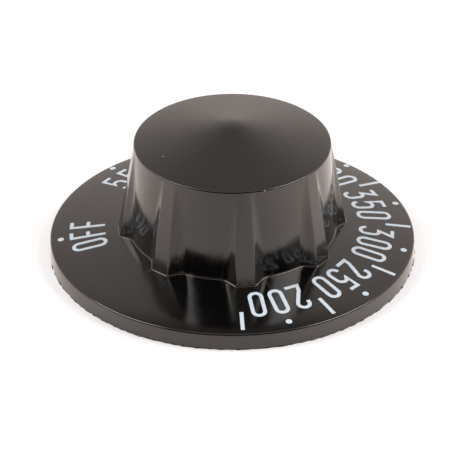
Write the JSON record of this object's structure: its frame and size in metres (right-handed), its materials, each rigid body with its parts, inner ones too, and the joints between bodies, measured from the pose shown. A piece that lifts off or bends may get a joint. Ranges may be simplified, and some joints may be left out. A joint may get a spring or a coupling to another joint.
{
  "type": "oven temperature knob",
  "caption": "Round black moulded oven temperature knob: fluted tapered grip with a low conical cap, a wide printed dial skirt, and a hub that pushes onto a flatted shaft.",
  "frame": {"origin": "on the turning axis, in the plane of the skirt's lower rim", "axes": "+Z along the turning axis, up through the cap; -X towards the dial's OFF mark"},
  "size_m": [0.0636, 0.0636, 0.0249],
  "materials": {
    "black_phenolic": "gloss, moulded, satin on the cap",
    "spring_steel": "rolled",
    "white_ink": "printed, satin"
  },
  "bodies": {
    "root": {"knob_body": "black_phenolic", "shaft_spring_clip": "spring_steel"}
  },
  "joints": []
}
